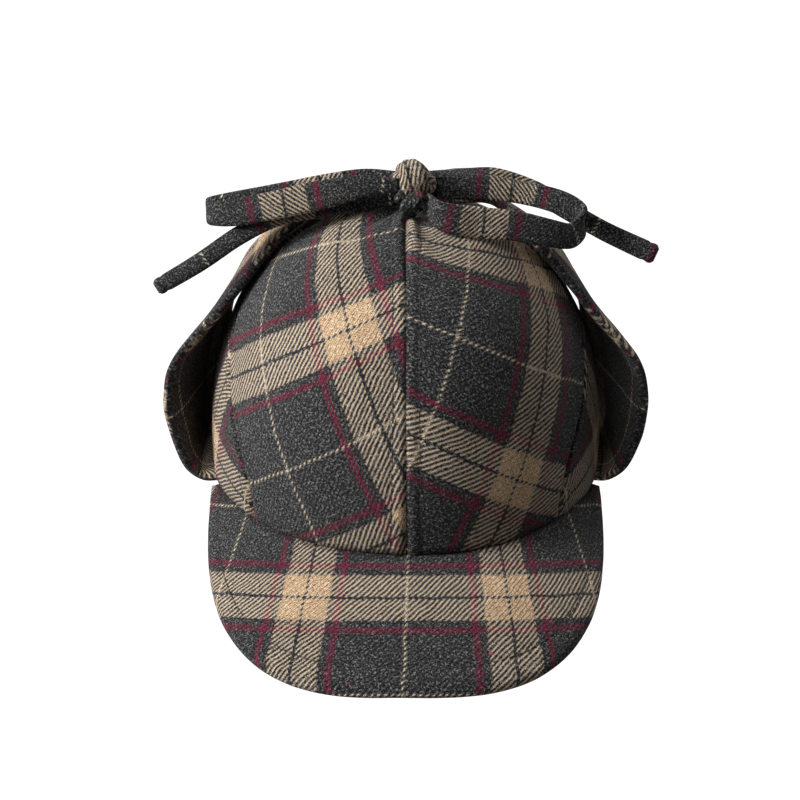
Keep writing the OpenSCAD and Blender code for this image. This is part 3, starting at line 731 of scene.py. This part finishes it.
left_loop = dict(
    points=[[XL, -7.5, 122], [15, -20, 119.5], [30, -19.5, 116.2], [46, -18, 114], [61, -15.5, 109.7],
            [70.5, -10.5, 106.3], [75, -5, 109], [73.5, 0, 113], [65, 3, 116.8], [50, 5, 120],
            [35, 4.5, 122.3], [22, 2.5, 123.5], [XL, 0, 123.5]],
    sides=[[0, 0.3 + 0.02*k, 0.95] for k in range(13)],
    widths=[8, 12, 13.5, 13, 12, 11, 10.5, 10.5, 10.5, 10, 11, 11, 8],
    thick=3.2, n=200, cloth0=(-33, 28), seed=9)
# the left tail lies flat at the knot and stands on edge from there on
flat_side, edge_side = np.array([0, 1, 0.15]), np.array([0.25, 0.45, 0.9])
left_tail = dict(
    points=[[XL, 3, 128.5], [27.5, 9, 126.5], [39, 12, 124.5], [55.5, 13.5, 118], [70, 12, 109.5],
            [88, 7, 100.6], [109.5, 0, 92.6]],
    sides=[mix(flat_side, edge_side, float(smooth(k/4))).tolist() for k in range(7)],
    widths=[6, 8, 8.5, 8.5, 8.5, 8.5, 9.2], thick=[2.6, 2.8, 3.0, 3.2, 3.4, 3.8, 4.2],
    n=130, cloth0=(-40, 27), seed=12, closed_end=True)
right_tie, right_len = tie("tie_right_ribbon", "right",
                           [lead(-1, XR, (30, 25)), right_loop, right_tail], "tie_right")
left_tie, left_len = tie("tie_left_ribbon", "left",
                         [lead(1, XL, (-20, 30)), left_loop, left_tail], "tie_left")

# the knot: ribbon drawn obliquely over the bow, with a second turn tucked in below it
def wrap(centre, radii, axis_turn, width, thick, n, lie, seed):
    """a puffy closed band round an axis near X, turned by axis_turn about Y; its section is a soft bulge"""
    m = 40
    T, K = np.meshgrid(np.linspace(0, 2*np.pi, n, endpoint=False),
                       np.linspace(0, 2*np.pi, m, endpoint=False), indexing="ij")
    u = np.cos(K)                                  # across the band
    bulge = np.where(np.sin(K) >= 0, 1, -0.25)*spow(np.abs(np.sin(K)), 0.75)
    folds = 0.16*np.exp(-((u - 0.25 + 0.35*np.cos(T))/0.16)**2)
    folds = folds + 0.13*np.exp(-((u + 0.45 + 0.2*np.sin(2*T))/0.13)**2)
    pinch = 1 - 0.22*np.sin(T)**2*np.sign(np.sin(T))
    r = thick*bulge*(1 - folds*(bulge > 0))
    X = u*width/2*pinch + 0.9*np.sin(2*T)
    Y = -(radii[0] + r)*spow(np.cos(T), 0.9)
    Z = (radii[1] + r)*spow(np.sin(T), 0.9)
    c, d = math.cos(axis_turn), math.sin(axis_turn)
    P = np.stack([c*X + d*Z, Y, -d*X + c*Z], -1) + np.array(centre)
    P = P + (P - np.array(centre))/8*lumps(P, 5, seed)[..., None]*0.45
    # the third value is painted shade in the folds of the band
    C = np.stack([lie[0] + T*4.5, lie[1] + u*width/2, 0.33*folds/0.16], -1)
    F = np.stack(np.broadcast_arrays(*[((np.arange(n)[:, None] + a) % n)*m + (np.arange(m)[None] + b) % m
                                       for a, b in ((0, 0), (0, 1), (1, 1), (1, 0))]), -1).reshape(-1, 4)
    return P, F, C
core = ribbon([[-6.5, -4, 128.6], [-1, -4, 129.4], [3.4, -4, 129.6], [7, -4, 129.2], [12, -4, 127.8]],
              [[0, 1, 0]]*5, [6, 9, 10, 9, 6], [5, 8.5, 9.5, 8.5, 5], 30, (-12, 30), seed=27)
tuck = ribbon([[6.5, -12.0, 126.5], [3.0, -14.2, 124.0], [0.2, -14.6, 121.0], [0.6, -13.6, 117.6],
               [3.0, -11.0, 115.9]],
              [[1, 0.1, 0.25]]*5, [5, 6, 5.6, 5, 4], [2.4, 3.2, 3.4, 3.0, 2.0], 50, (14, 22), seed=21)
V, F, C = merge([core[:3],
                 wrap((3.4, -4, 129.8), (5.0, 5.6), math.radians(-24), 12.5, 3.4, 72, (20, 1), 3),
                 wrap((0.0, -4.5, 125.2), (4.6, 4.2), math.radians(18), 6.5, 2.6, 60, (24, 28), 5),
                 tuck[:3]])
ob = make("bow_knot_wrap", V, F, C, TIE_MAT)
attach(ob, "left_flap_tip")
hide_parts("bow_knot")

# tacks that hold each tie to its flap
for side, which in ((1, "left"), (-1, "right")):
    def at(u, v):
        p, n = flap_frame(np.array(u))
        dy = v*(curve(REAR, u) - curve(FRONT, u))
        q = np.array([p[0] - curve(SLANT, u)*dy, curve(FRONT, u) + dy, p[1]])
        return (q + np.array([n[0], 0, n[1]])*(HALF_FLAP + 0.35))*np.array([side, 1, 1])
    # three sides of a box, the fourth, and one diagonal
    corners = [at(0.90, 0.33), at(0.90, 0.67), at(0.95, 0.67), at(0.95, 0.33), at(0.90, 0.33),
               at(0.95, 0.67)]
    line = np.vstack([np.linspace(p, q, 30, endpoint=False) for p, q in zip(corners, corners[1:])])
    p, n = flap_frame(np.array(0.93))
    nn = np.tile([side*n[0], 0, n[1]], (len(line), 1))
    V, F, C = merge(stitches(line, nn, length=2.0, gap=0.5, radius=0.24))
    ob = make(f"tie_{which}_tack_thread", V, F, C, THREAD_MAT)
    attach(ob, f"{which}_flap_tip")
    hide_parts(f"tie_{which}_tack")

# ------------------------------------------------------------------ studio
def studio():
    sc = bpy.context.scene
    sc.view_settings.view_transform = "Standard"
    world = bpy.data.worlds.new("studio")
    sc.world = world
    world.use_nodes = True
    nt = world.node_tree
    # the backdrop is white paper; little of its light reaches the hat
    bg = nt.nodes["Background"]
    path = nt.nodes.new("ShaderNodeLightPath")
    shown = S(nt, path.outputs["Is Camera Ray"])
    nt.links.new((shown*1.1 + 0.075).v, bg.inputs["Strength"])
    bg.inputs["Color"].default_value = (1, 1, 1, 1)
    def area(name, loc, size, power, colour=(1, 1, 1)):
        d = bpy.data.lights.new(name, "AREA")
        d.shape, d.size, d.energy, d.color = "DISK", size, power, colour
        o = bpy.data.objects.new(name, d)
        sc.collection.objects.link(o)
        o.location = loc
        o.rotation_euler = (Vector(loc) - Vector((0, 0, 0.03))).to_track_quat("Z", "Y").to_euler()
    area("key", (-0.88, -0.27, 0.72), 0.5, 18.5)
    area("front", (-0.50, -0.70, 1.15), 0.8, 4.6)
    area("back_right", (0.85, 0.8, 0.45), 0.9, 6.0)
    area("back_left", (-0.5, 1.1, 0.6), 0.9, 6.0)
    m, nt, bsdf = new_material("floor_paper")
    bsdf.inputs["Base Color"].default_value = (0.3, 0.3, 0.3, 1)
    bsdf.inputs["Roughness"].default_value = 1.0
    bsdf.inputs["Specular IOR Level"].default_value = 0.0
    glow = nt.nodes.new("ShaderNodeEmission")
    glow.inputs["Strength"].default_value = 1.15
    blend = nt.nodes.new("ShaderNodeMixShader")
    path = nt.nodes.new("ShaderNodeLightPath")
    out = nt.nodes["Material Output"]
    nt.links.new((S(nt, path.outputs["Is Camera Ray"])*0.95).v, blend.inputs[0])
    nt.links.new(bsdf.outputs[0], blend.inputs[1])
    nt.links.new(glow.outputs[0], blend.inputs[2])
    nt.links.new(blend.outputs[0], out.inputs["Surface"])
    me = bpy.data.meshes.new("floor")
    z, far = -0.19, 20                   # metres; the open flaps hang to just above it
    me.from_pydata([(-far, -far, z), (far, -far, z), (far, far, z), (-far, far, z)], [], [(0, 1, 2, 3)])
    me.materials.append(m)
    ob = bpy.data.objects.new("floor", me)
    sc.collection.objects.link(ob)
studio()

# ------------------------------------------------------------------ the ties' lengths in metres, not kept
for tape, metres, knotted in ((right_tie, right_len, ()), (left_tie, left_len, ("bow_knot_wrap",))):
    metres*0.001
